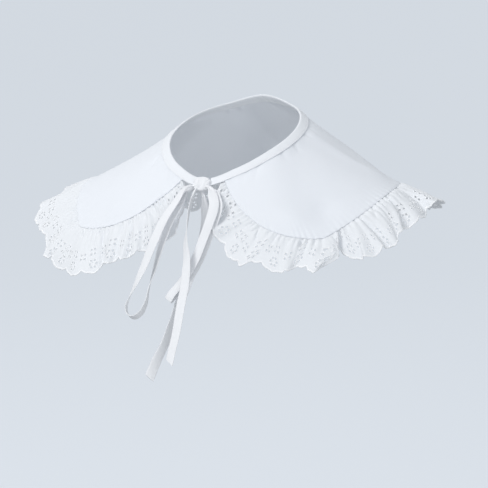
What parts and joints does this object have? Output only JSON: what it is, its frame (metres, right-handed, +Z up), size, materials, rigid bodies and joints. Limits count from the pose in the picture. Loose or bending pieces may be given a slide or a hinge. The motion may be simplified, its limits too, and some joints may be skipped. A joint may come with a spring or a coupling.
{
  "type": "detachable collar",
  "caption": "Detachable tie-neck collar with rounded front corners, a bound neck edge tied in a bow, and a gathered eyelet ruffle with a scalloped edge.",
  "frame": {"origin": "on the neck's axis, level with the neckline at the centre front", "axes": "the wearer faces -Y, the wearer's left is +X, and +Z runs up through the neck opening"},
  "size_m": [0.4179, 0.3433, 0.2587],
  "materials": {
    "panel_cloth": "plain white cotton, matt",
    "eyelet_cloth": "white cotton eyelet cloth with satin-stitched edges",
    "binding_cloth": "folded white cotton strip, matt",
    "tie_cloth": "folded white cotton tie, slight sheen"
  },
  "bodies": {
    "root": {"collar_panel": "panel_cloth", "eyelet_ruffle": "eyelet_cloth", "neck_binding": "binding_cloth", "tie_knot": "tie_cloth", "bow_loop_open": "tie_cloth", "bow_loop_flat": "tie_cloth", "tail_front": "tie_cloth", "tail_back": "tie_cloth"}
  },
  "joints": []
}
